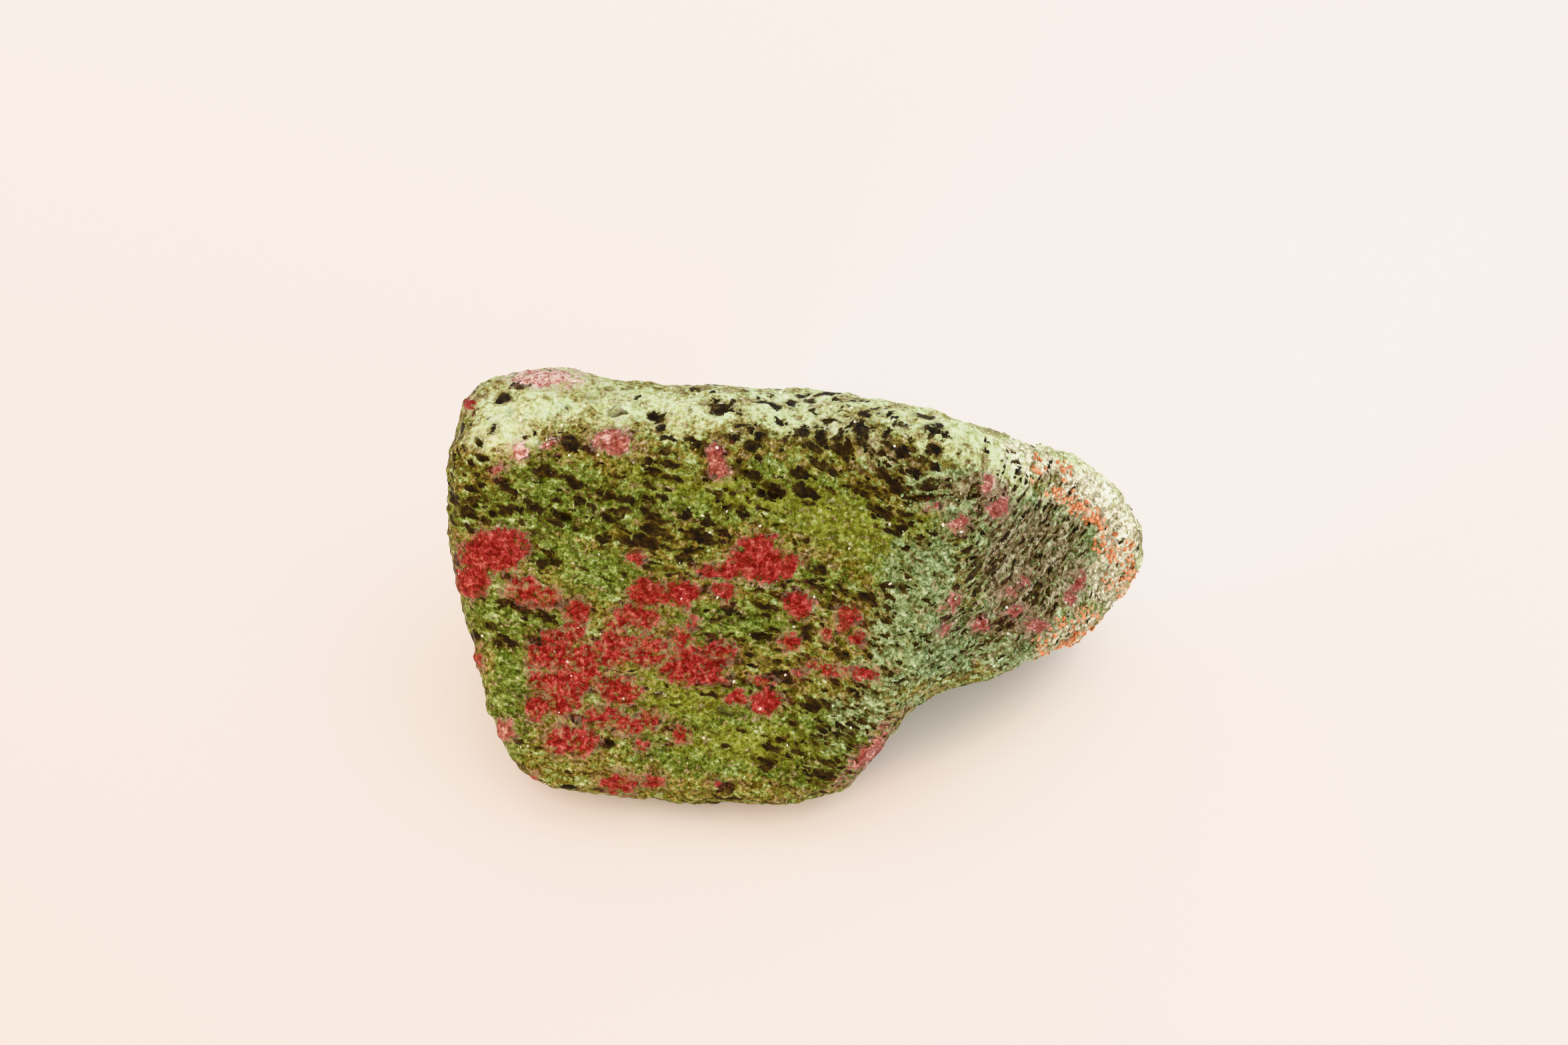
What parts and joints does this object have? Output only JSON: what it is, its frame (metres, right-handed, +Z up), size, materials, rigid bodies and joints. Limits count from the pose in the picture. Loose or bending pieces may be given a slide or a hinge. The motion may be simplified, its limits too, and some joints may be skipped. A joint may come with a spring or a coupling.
{
  "type": "ruby in zoisite stone",
  "caption": "Rough hand-sized stone of ruby in green zoisite with dark hornblende streaks, a worn block that tapers to a stepped nose and rests on a flat base; for display or study.",
  "frame": {"origin": "under the middle of the stone's bounding box, on the ground that it rests on", "axes": "+X along the stone from its square broken end to its nose, -Y towards its broad front face, +Z up from the flat foot"},
  "size_m": [0.08, 0.0458, 0.0388],
  "materials": {
    "zoisite": "rough natural break, worn: sugary green zoisite with ruby grains and dark hornblende streaks"
  },
  "bodies": {
    "root": {"stone": "zoisite"}
  },
  "joints": []
}
